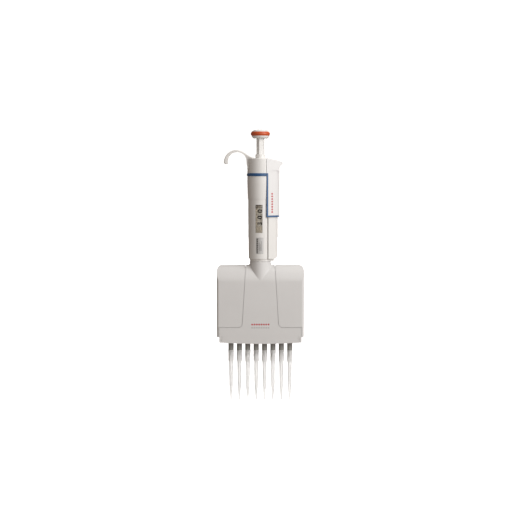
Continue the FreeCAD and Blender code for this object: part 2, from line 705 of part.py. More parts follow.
def key_and_trim():
    shell = key_shell()
    edge = shell.common(box(0, 8.3, -20, 20, 190, TRIM_Z[1]))
    foot = shell.common(box(0, 40, -20, 20, 190, KEY_Z[0] + 1.7))
    trim = fuse([edge, foot])
    return shell.cut(trim), trim


def rack_teeth(x, y0, y1, z0, z1):
    # Teeth that point to -X from the plane X = x + dedendum, with a gap at the pinion's height.
    p = math.pi * MODULE
    root, point = x + 1.25 * MODULE + 0.01, x - ADDENDUM
    teeth = []
    for i in range(-40, 60):
        z = PINION_Z + (i + 0.5) * p
        if z - 0.3 * p < z0 or z + 0.3 * p > z1:
            continue
        shape = [(root, z - 0.25 * p), (point, z - 0.09 * p), (point, z + 0.09 * p), (root, z + 0.25 * p)]
        teeth.append(prism_xz(shape, y0, y1))
    return teeth


def gear(teeth, y0, y1):
    pitch_r = 0.5 * MODULE * teeth
    root, point = pitch_r - 1.25 * MODULE, pitch_r + ADDENDUM
    half = math.pi / teeth
    body = rod_y(root, y0, y1, PINION_X, PINION_Z)
    tooth = prism_xz([(PINION_X + root - 0.1, PINION_Z - root * half * 0.5),
                      (PINION_X + point, PINION_Z - pitch_r * half * 0.16),
                      (PINION_X + point, PINION_Z + pitch_r * half * 0.16),
                      (PINION_X + root - 0.1, PINION_Z + root * half * 0.5)], y0, y1)
    parts = [body]
    for i in range(teeth):
        turned = tooth.copy()
        turned.rotate(V(PINION_X, 0, PINION_Z), V(0, 1, 0), 360.0 * i / teeth)
        parts.append(turned)
    return fuse(parts)


def ejector_pinion():
    hub = rod_y(1.7, -4.7, 4.7, PINION_X, PINION_Z)
    body = fuse([gear(KEY_TEETH, -1.4, 1.4), gear(BAR_TEETH, -4.7, -2.6), gear(BAR_TEETH, 2.6, 4.7), hub])
    return body.cut(rod_y(1.05, -6, 6, PINION_X, PINION_Z))


def key_rack():
    x = PINION_X + 0.5 * MODULE * KEY_TEETH
    z0, z1 = 223.0, 247.6
    wall_x = KEY_LOBE[0] + math.sqrt((KEY_LOBE[1] - KEY_WALL) ** 2 - 1.4 ** 2)
    back = box(x + 1.25 * MODULE, wall_x, -1.4, 1.4, z0, z1)
    return fuse([back] + rack_teeth(x, -1.4, 1.4, z0, z1))


def ejector_bar():
    outer = lobe_body(BAR_R, BAR_LOBE, BAR_Z[0], BAR_Z[1]).common(box(BAR_X, 40, -20, 20, 100, 240))
    corner = box(14, 20, -20, 20, 150, 156.6).cut(rod_y(4.0, -20, 20, 14.3, 156.6))
    outer = outer.cut(corner.cut(box(0, 14.3, -20, 20, 150, 160)))
    inner = lobe_body(BAR_R - 1.0, (BAR_LOBE[0], BAR_LOBE[1] - 1.0), BAR_Z[0] + 1.6, 240)
    body = outer.cut(inner).cut(cyl(TRACK_R + 0.3, 140, 240))
    x = PINION_X + 0.5 * MODULE * BAR_TEETH
    prongs = []
    for s in (-1, 1):
        y = sorted((s * 2.6, s * 4.7))
        prongs.append(box(x + 1.25 * MODULE, 16.8, y[0], y[1], BAR_Z[1] - 7, 240.0))
        prongs += rack_teeth(x, y[0], y[1], 224.5, 240.0)
    return fuse([body] + prongs)


def ejector_bar_ring():
    z0, z1 = RING_A_Z
    body = lobe_body(11.2, (8.4, 6.0), z0, z1)
    low = [e for e in body.Edges if e.BoundBox.ZMax < z0 + 0.01]
    return body.makeFillet(0.4, low).cut(cyl(8.3, 140, 160))


# ---------------------------------------------------------------- plunger and button

def hexagon(corner_r, z0, z1):
    turns = [math.radians(ROD_TURN + 60 * i) for i in range(6)]
    points = [V(corner_r * math.cos(a), corner_r * math.sin(a), z0) for a in turns]
    return face_of(points).extrude(V(0, 0, z1 - z0))


def thrust_rod():
    (foot, top), (low, high) = THRUST_Z, COLLAR_RANGE
    return revolve([(0, foot), (2.6, foot), (3.0, foot + 0.4), (3.0, low), (6.0, low), (6.0, high),
                    (4.2, high), (4.2, top), (0, top)])


def plunger_rod():
    body = hexagon(ROD_CORNER_R, ROD_FOOT_Z + 0.1, BUTTON_Z + 5.0)
    tall = [e for e in body.Edges if e.BoundBox.ZLength > 10]
    return body.makeFillet(0.35, tall)


def button_body():
    # Lower part of the button, with a boss for the colour ring and a recess for the rod.
    (z, top), edge, boss = BUTTON_BAND_Z, BUTTON_EDGE_R, BUTTON_BOSS_R
    flat = V(6.9, 0, BUTTON_Z)
    edges = [line(V(0, 0, BUTTON_Z), flat), arc(flat, V(8.35, 0, BUTTON_Z + 0.8), V(edge, 0, z)),
             line(V(edge, 0, z), V(boss, 0, z)), line(V(boss, 0, z), V(boss, 0, top)),
             line(V(boss, 0, top), V(0, 0, top)), line(V(0, 0, top), V(0, 0, BUTTON_Z))]
    body = wire_face(edges).revolve(V(0, 0, 0), V(0, 0, 1), 360)
    return body.cut(hexagon(ROD_CORNER_R, BUTTON_Z - 1, BUTTON_Z + 5.0))


def button_colour_ring():
    (z, top), edge, boss = BUTTON_BAND_Z, BUTTON_EDGE_R, BUTTON_BOSS_R
    edges = [line(V(boss, 0, z), V(edge, 0, z)),
             arc(V(edge, 0, z), V(BUTTON_R, 0, 0.5 * (z + top)), V(edge, 0, top)),
             line(V(edge, 0, top), V(boss, 0, top)), line(V(boss, 0, top), V(boss, 0, z))]
    return wire_face(edges).revolve(V(0, 0, 0), V(0, 0, 1), 360)


def button_cap():
    z, edge, flat = BUTTON_BAND_Z[1], BUTTON_EDGE_R, 6.5
    edges = [line(V(0, 0, z), V(edge, 0, z)),
             arc(V(edge, 0, z), V(8.35, 0, z + 1.15), V(flat, 0, TOTAL_Z)),
             line(V(flat, 0, TOTAL_Z), V(0, 0, TOTAL_Z)), line(V(0, 0, TOTAL_Z), V(0, 0, z))]
    return wire_face(edges).revolve(V(0, 0, 0), V(0, 0, 1), 360)


def plunger_springs():
    main = spring(4.6, 0.4, SEAT_Z[1], COLLAR_RANGE[0], 15)
    blowout = spring(6.5, 0.45, SEAT_Z[1], 188.4, 8)
    return main, blowout


# ---------------------------------------------------------------- build

def build_parts():
    centre, wings = housing_solids()
    key, trim = key_and_trim()
    main, blowout = plunger_springs()
    cover_spots = [(s * COVER_SCREW[0], COVER_SCREW[1]) for s in (-1, 1)]
    wing_spots = [(s * WING_SCREW[0], WING_SCREW[1]) for s in (-1, 1)]
    nodes = {
        "housing_front_cover": cover_half(centre, -1),
        "housing_rear_cover": cover_half(centre, 1),
        "left_wing_cover": wing_cover(wings, -1),
        "right_wing_cover": wing_cover(wings, 1),
        "cover_screws": rear_screws(cover_spots, COVER_SCREW_R, 1.9, 1.2, HEAD_HALF_Y - 2.0, 13.0),
        "wing_screws": rear_screws(wing_spots, WING_SCREW_R, 1.7, 0.7, HEAD_HALF_Y - 0.9, 2.0),
        "stripper_plate": stripper_plate(),
        "neck_ring": neck_ring(),
        "stripper_springs": stripper_springs(),
        "head_chassis": chassis(),
        "chassis_bridge": bridge(),
        "guide_columns": guide_columns(),
        "cylinders": cylinders(),
        "piston_seals": piston_seals(),
        "seal_retainer_plate": retainer_plate(),
        "chassis_screws": chassis_screws(),
        "swivel_spigot": swivel_spigot(),
        "swivel_retaining_clip": retaining_clip(),
        "tip_cones": tip_cones(),
        "tip_cone_rings": cone_rings(),
        "piston_carrier": piston_carrier(),
        "pistons": pistons(),
        "piston_clip_bar": piston_clip_bar(),
        "pusher_rod": pusher_rod(),
        "piston_return_springs": return_springs(),
        "disposable_tips": tips(),
        "handle_lower_casing": lower_casing(),
        "handle_upper_casing": upper_casing(),
        "finger_hook_cap": hook_cap(),
        "trim_ring": trim_ring(),
        "plunger_guide_bush": guide_bush(),
        "display_window": display_window(),
        "rating_label": rating_label(),
        "counter_frame": counter_frame(),
        "volume_screw": volume_screw(),
        "volume_stop_nut": stop_nut(),
        "swivel_bush": swivel_bush(),
        "spring_seat": spring_seat(),
        "blowout_washer": blowout_washer(),
        "plunger_spring": main,
        "blowout_spring": blowout,
        "casing_screws": casing_screws(),
        "pinion_axle": pinion_axle(),
        "ejector_key": key,
        "ejector_key_trim": trim,
        "key_rack": key_rack(),
        "ejector_pinion": ejector_pinion(),
        "ejector_bar": ejector_bar(),
        "ejector_bar_ring": ejector_bar_ring(),
        "thrust_rod": thrust_rod(),
        "plunger_rod": plunger_rod(),
        "button_body": button_body(),
        "button_colour_ring": button_colour_ring(),
        "button_cap": button_cap(),
    }
    for name, z in WHEEL_Z.items():
        nodes[name] = number_wheel(z)
    return nodes


os.makedirs("parts", exist_ok=True)
for node_name, node_shape in build_parts().items():
    node_shape.exportStep("parts/" + node_name + ".step")
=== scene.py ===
import bpy
import bmesh
import math
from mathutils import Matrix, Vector


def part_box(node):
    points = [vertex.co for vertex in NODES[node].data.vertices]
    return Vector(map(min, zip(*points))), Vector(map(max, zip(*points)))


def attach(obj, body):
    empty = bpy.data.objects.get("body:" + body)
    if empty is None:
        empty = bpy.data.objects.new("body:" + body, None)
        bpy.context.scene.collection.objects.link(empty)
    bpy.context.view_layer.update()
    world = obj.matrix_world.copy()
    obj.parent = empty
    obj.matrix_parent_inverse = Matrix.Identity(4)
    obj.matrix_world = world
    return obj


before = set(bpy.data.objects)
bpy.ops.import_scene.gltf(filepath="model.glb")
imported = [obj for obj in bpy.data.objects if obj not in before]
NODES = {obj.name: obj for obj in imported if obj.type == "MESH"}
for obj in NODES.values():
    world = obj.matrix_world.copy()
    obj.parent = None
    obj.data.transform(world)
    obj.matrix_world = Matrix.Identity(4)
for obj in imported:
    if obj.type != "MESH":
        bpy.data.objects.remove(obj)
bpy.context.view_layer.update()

MM = 0.001
CHANNELS = 8
RIGHT = Vector((1, 0, 0))
UP = Vector((0, 0, 1))
FORWARD = Vector((0, -1, 0))
FRONT_ANGLE = -math.pi / 2         # the angle about Z of the side with the counter

# Number wheels
WHEEL_POSITIONS = 10
DIGIT_SIZE = 6.1 * MM
DIGIT_WIDEN = 1.2
DIGIT_BOLD = 0.045                 # a share of the size
DIGIT_FACET = 0.7 * MM             # longest edge, so that a digit follows its wheel
DIGIT_OFFSET = -0.6 * MM           # the digits sit a little left of the handle's middle

# Printed marks
INK = 0.03 * MM                    # how far ink stands proud
PLATE_FACET = 0.5 * MM             # width of one facet of a plate that follows the handle
MASK_DEPTH = 1.75 * MM             # from the window's face in to the mask
MASK_THICKNESS = 0.15 * MM
STRIP_WIDTH = 2.1 * MM
STRIP_MARKS = 7
STRIP_REACHES = (1.25 * MM, 0.8 * MM)
HEADER_MARKS = 4
CASING_FOOT_R = 12.64 * MM
CASING_TOP_R = 13.05 * MM
LABEL_BARS = 22
BAR_SHARES = (0.45, 0.75, 0.75)    # of the pitch
BAR_REACHES = (1.75 * MM, 1.35 * MM, 1.6 * MM)
LINE_LENGTHS = (9.0 * MM, 7.2 * MM, 10.4 * MM)
LINES_START = 3.1 * MM             # from the label's left edge
LINE_PITCH = 1.1 * MM
HEAD_MARK_PITCH = 2.5 * MM
HEAD_LINE_LIFT = 17.2 * MM         # above the lower edge of the head
HEAD_DOT_LIFT = 3.6 * MM           # above the line
HEAD_DOT_R = 0.92 * MM
HEAD_DASH = (0.8 * MM, 0.24 * MM)  # half its width and half its height
KEY_FLANK_ANGLE = math.radians(60)
KEY_FLANK_R = 14.3 * MM            # from the handle's axis out to the flat flank
KEY_DOT_SHIFT = 6.1 * MM           # sideways along the flank
KEY_DOT_START = 3.6 * MM           # above the lower edge of the key
KEY_DOT_PITCH = 2.75 * MM
KEY_DOT_R = 1.0 * MM

# Crown of the head and the neck that runs into it
NECK_R = 11.38 * MM
SHOULDER_R = 20.5 * MM             # of the top's front and rear slopes
RIDGE_Y = 3.0 * MM                 # where the slopes run into the arc along the ridge

TIP_COLLAR_Z = 42.2 * MM           # foot of the tips' collars

# Studio
WORLD_COLOR = (1.0, 0.86, 0.75, 1.0)
WORLD_STRENGTH = 0.215
LIGHTS = {                         # place, width and height, watts
    "key_light": ((0.80, -0.52, 0.58), (0.45, 0.75), 7.2),
    "front_light": ((0.55, -1.50, 0.60), (0.9, 0.9), 8.5),
    "top_light": ((0.15, -0.15, 1.3), (0.8, 0.6), 2.5),
    "back_light": ((0.0, 1.3, 0.45), (0.9, 0.9), 7.0),
}
LOOK_AT = Vector((-0.0004, 0.0, 0.1510))
CAMERA_DISTANCE = 1.25
CAMERA_ELEVATION = math.radians(4.2)
SENSOR_WIDTH = 36.0                # in millimetres, as the lens is
VIEW_WIDTH = 0.555378              # metres across the frame at LOOK_AT


# ---------------------------------------------------------------- materials

def material(name, color, roughness, **sockets):
    """A new node material whose even values sit on the shader's own sockets."""
    mat = bpy.data.materials.new(name)
    mat.use_nodes = True
    shader = mat.node_tree.nodes["Principled BSDF"]
    shader.inputs["Base Color"].default_value = (*color, 1.0)
    shader.inputs["Roughness"].default_value = roughness
    for socket, value in sockets.items():
        shader.inputs[socket.replace("_", " ")].default_value = value
    return mat, mat.node_tree, shader


def noise(tree, scale, detail=4.0, stretch=(1.0, 1.0, 1.0)):
    """Noise over the object's own coordinates, which are metres."""
    coords = tree.nodes.new("ShaderNodeTexCoord")
    mapping = tree.nodes.new("ShaderNodeMapping")
    mapping.inputs["Scale"].default_value = stretch
    texture = tree.nodes.new("ShaderNodeTexNoise")
    texture.inputs["Scale"].default_value = scale
    texture.inputs["Detail"].default_value = detail
    tree.links.new(coords.outputs["Object"], mapping.inputs["Vector"])
    tree.links.new(mapping.outputs["Vector"], texture.inputs["Vector"])
    return texture.outputs["Fac"]


def span(tree, value, low, high):
    """Maps 0.3 to 0.7, where most of a noise lies, onto low to high, and holds beyond."""
    node = tree.nodes.new("ShaderNodeMapRange")
    node.inputs["From Min"].default_value = 0.3
    node.inputs["From Max"].default_value = 0.7
    node.inputs["To Min"].default_value = low
    node.inputs["To Max"].default_value = high
    tree.links.new(value, node.inputs["Value"])
    return node.outputs["Result"]


def blend_colors(tree, value, first, second):
    node = tree.nodes.new("ShaderNodeMix")
    node.data_type = "RGBA"
    node.inputs["A"].default_value = (*first, 1.0)
    node.inputs["B"].default_value = (*second, 1.0)
    tree.links.new(value, node.inputs["Factor"])
    return node.outputs["Result"]


def add_bump(tree, shader, height, strength, distance):
    node = tree.nodes.new("ShaderNodeBump")
    node.inputs["Strength"].default_value = strength
    node.inputs["Distance"].default_value = distance
    tree.links.new(height, node.inputs["Height"])
    tree.links.new(node.outputs["Normal"], shader.inputs["Normal"])


def moulded(name, color, roughness, spread, grain=2600.0, bump=0.12, **sockets):
    """Moulded plastic: faint cloudy colour, a little uneven gloss and the fine grain of the mould."""
    mat, tree, shader = material(name, color, roughness, **sockets)
    cloud = span(tree, noise(tree, 45.0), 0.0, 1.0)
    darker = tuple(c * (1.0 - spread) for c in color)
    lighter = tuple(min(1.0, c * (1.0 + spread)) for c in color)
    tree.links.new(blend_colors(tree, cloud, darker, lighter), shader.inputs["Base Color"])
    handling = span(tree, noise(tree, 160.0, 6.0), roughness * 0.94, min(1.0, roughness * 1.08))
    tree.links.new(handling, shader.inputs["Roughness"])
    add_bump(tree, shader, noise(tree, grain, 2.0), bump, 0.06 * MM)
    return mat


def printed(name, color):
    """Pad-printed ink with a slightly uneven film."""
    return moulded(name, color, 0.5, 0.08, 4000.0, 0.2)


def machined(name, color, roughness):
    """Turned or drawn metal: fine rings across the axis and uneven gloss."""
    mat, tree, shader = material(name, color, roughness, Metallic=1.0)
    rings = noise(tree, 1800.0, 3.0, (0.05, 0.05, 1.0))
    tree.links.new(span(tree, rings, roughness * 0.7, roughness * 1.4), shader.inputs["Roughness"])
    tone = span(tree, noise(tree, 220.0), 0.0, 1.0)
    darker = tuple(c * 0.9 for c in color)
    tree.links.new(blend_colors(tree, tone, darker, color), shader.inputs["Base Color"])
    add_bump(tree, shader, rings, 0.15, 0.03 * MM)
    return mat


def flow_marks(tree):
    """Noise drawn out along Z, as plastic flows in a long mould."""
    return noise(tree, 500.0, 3.0, (1.0, 1.0, 0.15))


def clear_plastic(name, color, roughness):
    """See-through plastic with flow marks that the gloss shows."""
    mat, tree, shader = material(name, color, roughness, IOR=1.49, Transmission_Weight=1.0)
    flow = flow_marks(tree)
    tree.links.new(span(tree, flow, roughness * 0.8, roughness * 1.25), shader.inputs["Roughness"])
    tint = tuple(c * 0.97 for c in color)
    tone = span(tree, flow, 0.0, 1.0)
    tree.links.new(blend_colors(tree, tone, tint, color), shader.inputs["Base Color"])
    add_bump(tree, shader, flow, 0.08, 0.04 * MM)
    return mat


def height_share(tree, low, high):
    """0 below one height of the object's own frame and 1 above another."""
    coords = tree.nodes.new("ShaderNodeTexCoord")
    split = tree.nodes.new("ShaderNodeSeparateXYZ")
    tree.links.new(coords.outputs["Object"], split.inputs["Vector"])
    node = tree.nodes.new("ShaderNodeMapRange")
    node.inputs["From Min"].default_value = low
    node.inputs["From Max"].default_value = high
    tree.links.new(split.outputs["Z"], node.inputs["Value"])
    return node.outputs["Result"]


def milky_plastic(name, middle, edge, collar_z):
    """Thin natural polypropylene. Its colour is painted greyer where the surface turns edge-on to the
    camera, a painted shade along the outline of each tip.
    From the foot of the collar up it is thicker, so it is less clear and that painted edge shade is weaker."""
    mat, tree, shader = material(name, middle, 0.42, IOR=1.2)
    # painted shade: the facing weight mixes the colour towards the grey edge colour where the tip turns
    # edge-on to the view
    facing = tree.nodes.new("ShaderNodeLayerWeight")
    facing.inputs["Blend"].default_value = 0.42
    above = height_share(tree, collar_z - 1.0 * MM, collar_z)
    painted_edge_shade = tree.nodes.new("ShaderNodeMath")
    painted_edge_shade.operation = "MULTIPLY"
    tree.links.new(facing.outputs["Facing"], painted_edge_shade.inputs[0])
    tree.links.new(span(tree, above, 1.0, 0.4), painted_edge_shade.inputs[1])
    color = blend_colors(tree, painted_edge_shade.outputs["Value"], middle, edge)
    tree.links.new(color, shader.inputs["Base Color"])
    tree.links.new(span(tree, flow_marks(tree), 0.36, 0.48), shader.inputs["Roughness"])
    tree.links.new(span(tree, above, 0.74, 0.5), shader.inputs["Transmission Weight"])
    return mat


def make_materials():
    return {
        "casing": moulded("casing_plastic", (0.80, 0.785, 0.76), 0.36, 0.012,
                          Coat_Weight=0.08, Coat_Roughness=0.3),
        "key": moulded("key_plastic", (0.78, 0.77, 0.765), 0.42, 0.012),
        "head": moulded("head_plastic", (0.72, 0.71, 0.70), 0.42, 0.014, 1900.0, 0.22),
        "button": moulded("button_plastic", (0.84, 0.83, 0.81), 0.28, 0.01),
        "blue": moulded("blue_plastic", (0.030, 0.100, 0.235), 0.36, 0.08),
        "orange": moulded("orange_plastic", (0.60, 0.095, 0.026), 0.38, 0.05),
        "dark": moulded("cone_plastic", (0.36, 0.355, 0.335), 0.36, 0.05),
        "inner": moulded("inner_plastic", (0.30, 0.30, 0.305), 0.5, 0.05),
        "beige": moulded("counter_plastic", (0.40, 0.345, 0.275), 0.55, 0.05),
        "wheel": moulded("wheel_plastic", (0.66, 0.62, 0.56), 0.5, 0.04),
        "label": moulded("label_film", (0.60, 0.595, 0.585), 0.34, 0.05, Metallic=0.2),
        "rubber": moulded("seal_rubber", (0.02, 0.02, 0.02), 0.65, 0.15),
        "steel": machined("steel", (0.56, 0.56, 0.57), 0.28),
        "brass": machined("brass", (0.62, 0.43, 0.16), 0.3),
        "aluminium": machined("aluminium", (0.66, 0.66, 0.67), 0.36),
        "window": clear_plastic("window_plastic", (0.97, 0.96, 0.93), 0.06),
        # the tips' second colour, (0.42, 0.42, 0.41), is painted shade along their edges
        "tip": milky_plastic("tip_plastic", (0.97, 0.965, 0.96), (0.42, 0.42, 0.41), TIP_COLLAR_Z),
        "ink": printed("dark_ink", (0.022, 0.019, 0.016)),
        "grey_ink": printed("grey_ink", (0.12, 0.115, 0.11)),
        "red_ink": printed("red_ink", (0.52, 0.022, 0.035)),
        "header": printed("header_ink", (0.10, 0.085, 0.075)),
        "mask": printed("mask_print", (0.52, 0.46, 0.38)),
    }


CAD_MATERIALS = {
    "casing": ["handle_lower_casing", "handle_upper_casing", "finger_hook_cap", "plunger_guide_bush",
               "ejector_bar", "ejector_bar_ring"],
    "key": ["ejector_key"],
    "head": ["housing_front_cover", "housing_rear_cover", "left_wing_cover", "right_wing_cover",
             "neck_ring"],
    "button": ["button_body", "button_cap", "plunger_rod"],
    "blue": ["trim_ring", "ejector_key_trim"],
    "orange": ["button_colour_ring"],
    "dark": ["tip_cones"],
    "inner": ["stripper_plate", "swivel_bush", "spring_seat", "piston_carrier", "piston_clip_bar",
              "cylinders", "head_chassis", "chassis_bridge", "ejector_pinion", "key_rack",
              "volume_stop_nut"],
    "beige": ["counter_frame"],
    "wheel": ["units_wheel", "tens_wheel", "hundreds_wheel"],
    "label": ["rating_label"],
    "rubber": ["piston_seals", "tip_cone_rings"],
    "steel": ["plunger_spring", "blowout_spring", "casing_screws", "pinion_axle", "guide_columns",
              "chassis_screws", "swivel_retaining_clip", "piston_return_springs", "stripper_springs",
              "pistons", "cover_screws", "wing_screws", "blowout_washer", "seal_retainer_plate",
              "pusher_rod", "thrust_rod"],
    "brass": ["volume_screw"],
    "aluminium": ["swivel_spigot"],
    "window": ["display_window"],
    "tip": ["disposable_tips"],
}


def dress_cad_nodes(materials):
    for key, names in CAD_MATERIALS.items():
        for name in names:
            mesh = NODES[name].data
            mesh.materials.clear()
            mesh.materials.append(materials[key])


# ---------------------------------------------------------------- mesh helpers

def add_piece(name, bm, mat, body):
    """Makes the bmesh a piece of the object, and frees it."""
    bmesh.ops.recalc_face_normals(bm, faces=bm.faces)
    mesh = bpy.data.meshes.new(name)
    bm.to_mesh(mesh)
    bm.free()
    mesh.materials.append(mat)
    piece = bpy.data.objects.new(name, mesh)
    bpy.context.scene.collection.objects.link(piece)
    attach(piece, body)
    return piece


def join(target, other):
    """Adds one bmesh to another and frees it."""
    mesh = bpy.data.meshes.new("part")
    other.to_mesh(mesh)
    other.free()
    target.from_mesh(mesh)
    bpy.data.meshes.remove(mesh)


def thicken(bm, low, high):
    """Turns flat faces in the (u, v) plane into a plate from low to high in w."""
    for vert in bm.verts:
        vert.co.z = low
    lifted = bmesh.ops.extrude_face_region(bm, geom=list(bm.faces))
    for item in lifted["geom"]:
        if isinstance(item, bmesh.types.BMVert):
            item.co.z = high


def fine_grid(bm, step):
    """Cuts long edges so that the plate can follow a curved surface."""
    for _ in range(3):
        long_edges = [edge for edge in bm.edges if edge.calc_length() > step]
        if long_edges:
            bmesh.ops.subdivide_edges(bm, edges=long_edges, cuts=1)
    bmesh.ops.triangulate(bm, faces=list(bm.faces))


def wrap_upright(bm, radius, angle, z):
    """Lays (u, v, w) on a cylinder about Z: u runs up, v to the left as seen from the front, w outwards."""
    for vert in bm.verts:
        u, side, out = vert.co
        turn = angle - side / radius
        vert.co = ((radius + out) * math.cos(turn), (radius + out) * math.sin(turn), z + u)


def plate_on_handle(x0, x1, z0, z1, radius_at, low, high):
    """A thin plate between two X and two Z values that follows the round front of the handle."""
    bm = bmesh.new()
    across = max(2, int((x1 - x0) / PLATE_FACET))
    rows = []
    for z in (z0, z1):
        radius = radius_at(z)
        for out in (low, high):
            row = []
            for i in range(across + 1):
                x = x0 + (x1 - x0) * i / across
                turn = FRONT_ANGLE + math.asin(x / radius)
                point = ((radius + out) * math.cos(turn), (radius + out) * math.sin(turn), z)
                row.append(bm.verts.new(point))
            rows.append(row)
    bottom_in, bottom_out, top_in, top_out = rows
    for i in range(across):
        bm.faces.new((bottom_out[i], bottom_out[i + 1], top_out[i + 1], top_out[i]))
        bm.faces.new((bottom_in[i], top_in[i], top_in[i + 1], bottom_in[i + 1]))
        bm.faces.new((bottom_in[i], bottom_in[i + 1], bottom_out[i + 1], bottom_out[i]))
        bm.faces.new((top_in[i], top_out[i], top_out[i + 1], top_in[i + 1]))
    for i in (0, across):
        bm.faces.new((bottom_in[i], bottom_out[i], top_out[i], top_in[i]))
    return bm


def dot(bm, centre, right, up, out, radius):
    """A printed dot: a low dome with a rounded edge."""
    segments = 20
    rings = []
    for share, height in ((1.0, -INK), (1.0, 0.4 * INK), (0.85, INK)):
        ring = []
        for i in range(segments):
            turn = 2 * math.pi * i / segments
            across = right * (radius * share * math.cos(turn)) + up * (radius * share * math.sin(turn))
            ring.append(bm.verts.new(centre + across + out * height))
        rings.append(ring)
    for lower, upper in zip(rings, rings[1:]):
        for i in range(segments):
            j = (i + 1) % segments
            bm.faces.new((lower[i], lower[j], upper[j], upper[i]))
    bm.faces.new(rings[-1])
    bm.faces.new(list(reversed(rings[0])))


def dash(bm, centre, right, up, out, half_width, half_height):
    """A printed dash on a plane face."""
    sheets = []
    for height in (-INK, INK):
        corners = []
        for a, b in ((-1, -1), (1, -1), (1, 1), (-1, 1)):
            corner = centre + right * (a * half_width) + up * (b * half_height) + out * height
            corners.append(bm.verts.new(corner))
        sheets.append(corners)
    back, face = sheets
    bm.faces.new(face)
    bm.faces.new(list(reversed(back)))
    for i in range(4):
        j = (i + 1) % 4
        bm.faces.new((back[i], back[j], face[j], face[i]))


# ---------------------------------------------------------------- number wheels

def glyph(text):
    """One digit as flat faces, centred on the origin."""
    curve = bpy.data.curves.new("glyph", "FONT")
    curve.body = text
    curve.size = DIGIT_SIZE
    curve.offset = DIGIT_BOLD * DIGIT_SIZE
    curve.resolution_u = 6
    holder = bpy.data.objects.new("glyph", curve)
    bpy.context.scene.collection.objects.link(holder)
    graph = bpy.context.evaluated_depsgraph_get()
    mesh = bpy.data.meshes.new_from_object(holder.evaluated_get(graph))
    bm = bmesh.new()
    bm.from_mesh(mesh)
    bpy.data.objects.remove(holder)
    bpy.data.curves.remove(curve)
    bpy.data.meshes.remove(mesh)
    bmesh.ops.remove_doubles(bm, verts=bm.verts, dist=DIGIT_SIZE * 0.001)
    us = [vert.co.x for vert in bm.verts]
    vs = [vert.co.y for vert in bm.verts]
    middle_u = (min(us) + max(us)) / 2
    middle_v = (min(vs) + max(vs)) / 2
    for vert in bm.verts:
        vert.co = ((vert.co.x - middle_u) * DIGIT_WIDEN, vert.co.y - middle_v, 0.0)
    return bm


def wheel_digits(name, node, body, shown, mat):
    """Ten digits round a number wheel. Turning the wheel on by a tenth brings up the next lower digit."""
    low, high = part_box(node)
    radius = high.x
    z = (low.z + high.z) / 2
    front = FRONT_ANGLE + DIGIT_OFFSET / radius
    ring = bmesh.new()
    for step in range(WHEEL_POSITIONS):
        digit = glyph(str((shown - step) % WHEEL_POSITIONS))
        fine_grid(digit, DIGIT_FACET)
        thicken(digit, -INK, INK)
        wrap_upright(digit, radius, front - step * 2 * math.pi / WHEEL_POSITIONS, z)
        join(ring, digit)
    add_piece(name, ring, mat, body)


# ---------------------------------------------------------------- printed marks

def counter_mask(materials):
    """Printed mask behind the window: a dark header, a strip of plain marks on the left of the wheels and a
    blank field below them."""
    low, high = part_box("display_window")
    wheels_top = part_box("units_wheel")[1].z
    wheels_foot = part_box("hundreds_wheel")[0].z
    strip_end = low.x + STRIP_WIDTH
    gap = 0.1 * MM

    def radius_at(_):
        return -low.y - MASK_DEPTH

    fields = [
        ("counter_header", high.x, wheels_top + gap, high.z, "header"),
        ("counter_strip", strip_end, wheels_foot, wheels_top, "mask"),
        ("counter_blank", high.x, low.z, wheels_foot, "mask"),
    ]
    for name, x_end, foot, top, key in fields:
        field = plate_on_handle(low.x, x_end, foot, top, radius_at, -MASK_THICKNESS, 0.0)
        add_piece(name, field, materials[key], "handle")
    strip_marks = bmesh.new()
    mark_end = strip_end - 0.3 * MM
    mark_half = 0.22 * MM
    for i in range(STRIP_MARKS):
        z = wheels_foot + (wheels_top - wheels_foot) * (i + 0.5) / STRIP_MARKS
        mark_start = mark_end - STRIP_REACHES[i % 2]
        mark = plate_on_handle(mark_start, mark_end, z - mark_half, z + mark_half, radius_at, 0.0, INK)
        join(strip_marks, mark)
    add_piece("counter_strip_marks", strip_marks, materials["grey_ink"], "handle")
    header_marks = bmesh.new()
    mark_half = 0.3 * MM
    foot = high.z - 2.9 * MM
    top = high.z - 0.7 * MM
    for i in range(HEADER_MARKS):
        x = low.x + (high.x - low.x) * (i + 1) / (HEADER_MARKS + 1)
        mark = plate_on_handle(x - mark_half, x + mark_half, foot, top, radius_at, 0.0, INK)
        join(header_marks, mark)
    add_piece("counter_header_marks", header_marks, materials["mask"], "handle")


def label_marks(materials):
    """Generic bars and lines on the rating label, with no lettering."""
    low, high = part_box("rating_label")
    casing_low, casing_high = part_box("handle_lower_casing")
    slope = (CASING_TOP_R - CASING_FOOT_R) / (casing_high.z - casing_low.z)

    def radius_at(z):
        return CASING_FOOT_R + slope * (z - casing_low.z)

    bars = bmesh.new()
    margin = 0.6 * MM
    pitch = (high.z - low.z - 2 * margin) / LABEL_BARS
    start = low.x + 0.35 * MM
    for i in range(LABEL_BARS):
        z = low.z + margin + i * pitch
        height = pitch * BAR_SHARES[i % 3]
        end = start + BAR_REACHES[i % 3]
        join(bars, plate_on_handle(start, end, z, z + height, radius_at, 0.0, INK))
    add_piece("label_bars", bars, materials["ink"], "handle")
    lines = bmesh.new()
    width = 0.32 * MM
    foot = low.z + 3.2 * MM
    for i, length in enumerate(LINE_LENGTHS):
        x = low.x + LINES_START + LINE_PITCH * i
        join(lines, plate_on_handle(x, x + width, foot, foot + length, radius_at, 0.0, INK))
    add_piece("label_lines", lines, materials["grey_ink"], "handle")


